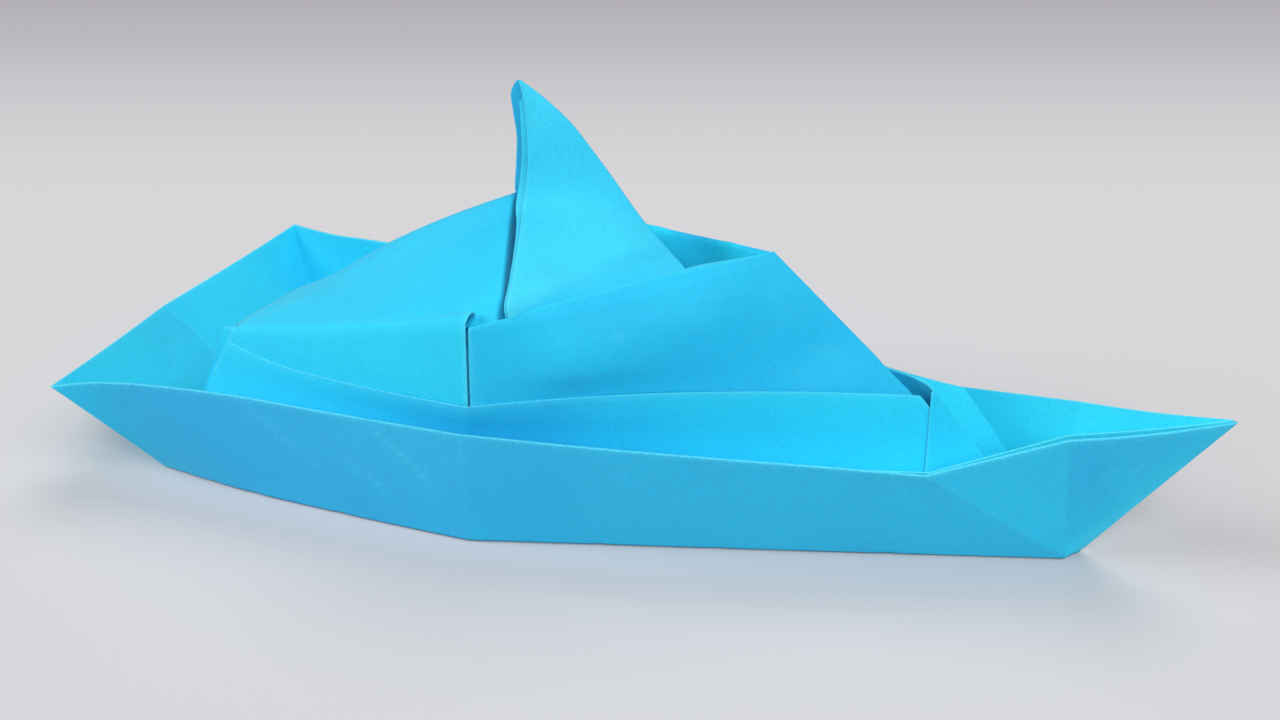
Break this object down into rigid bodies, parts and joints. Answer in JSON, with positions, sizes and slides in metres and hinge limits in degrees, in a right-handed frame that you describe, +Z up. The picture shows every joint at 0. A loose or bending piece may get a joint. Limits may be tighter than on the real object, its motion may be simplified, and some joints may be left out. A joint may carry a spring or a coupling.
{
  "type": "paper boat",
  "caption": "Folded paper boat with a raised pointed bow, wide raked transom, hooded cabin and an upright fin.",
  "frame": {"origin": "on the ground under the middle of the boat's length and width", "axes": "+X towards the bow, +Y to port, +Z up; the flat bottom lies on Z = 0"},
  "size_m": [0.2449, 0.0994, 0.0866],
  "materials": {
    "blue_paper": "matt uncoated craft paper, dyed sky blue right through"
  },
  "bodies": {
    "root": {"folded_sheet": "blue_paper"}
  },
  "joints": []
}
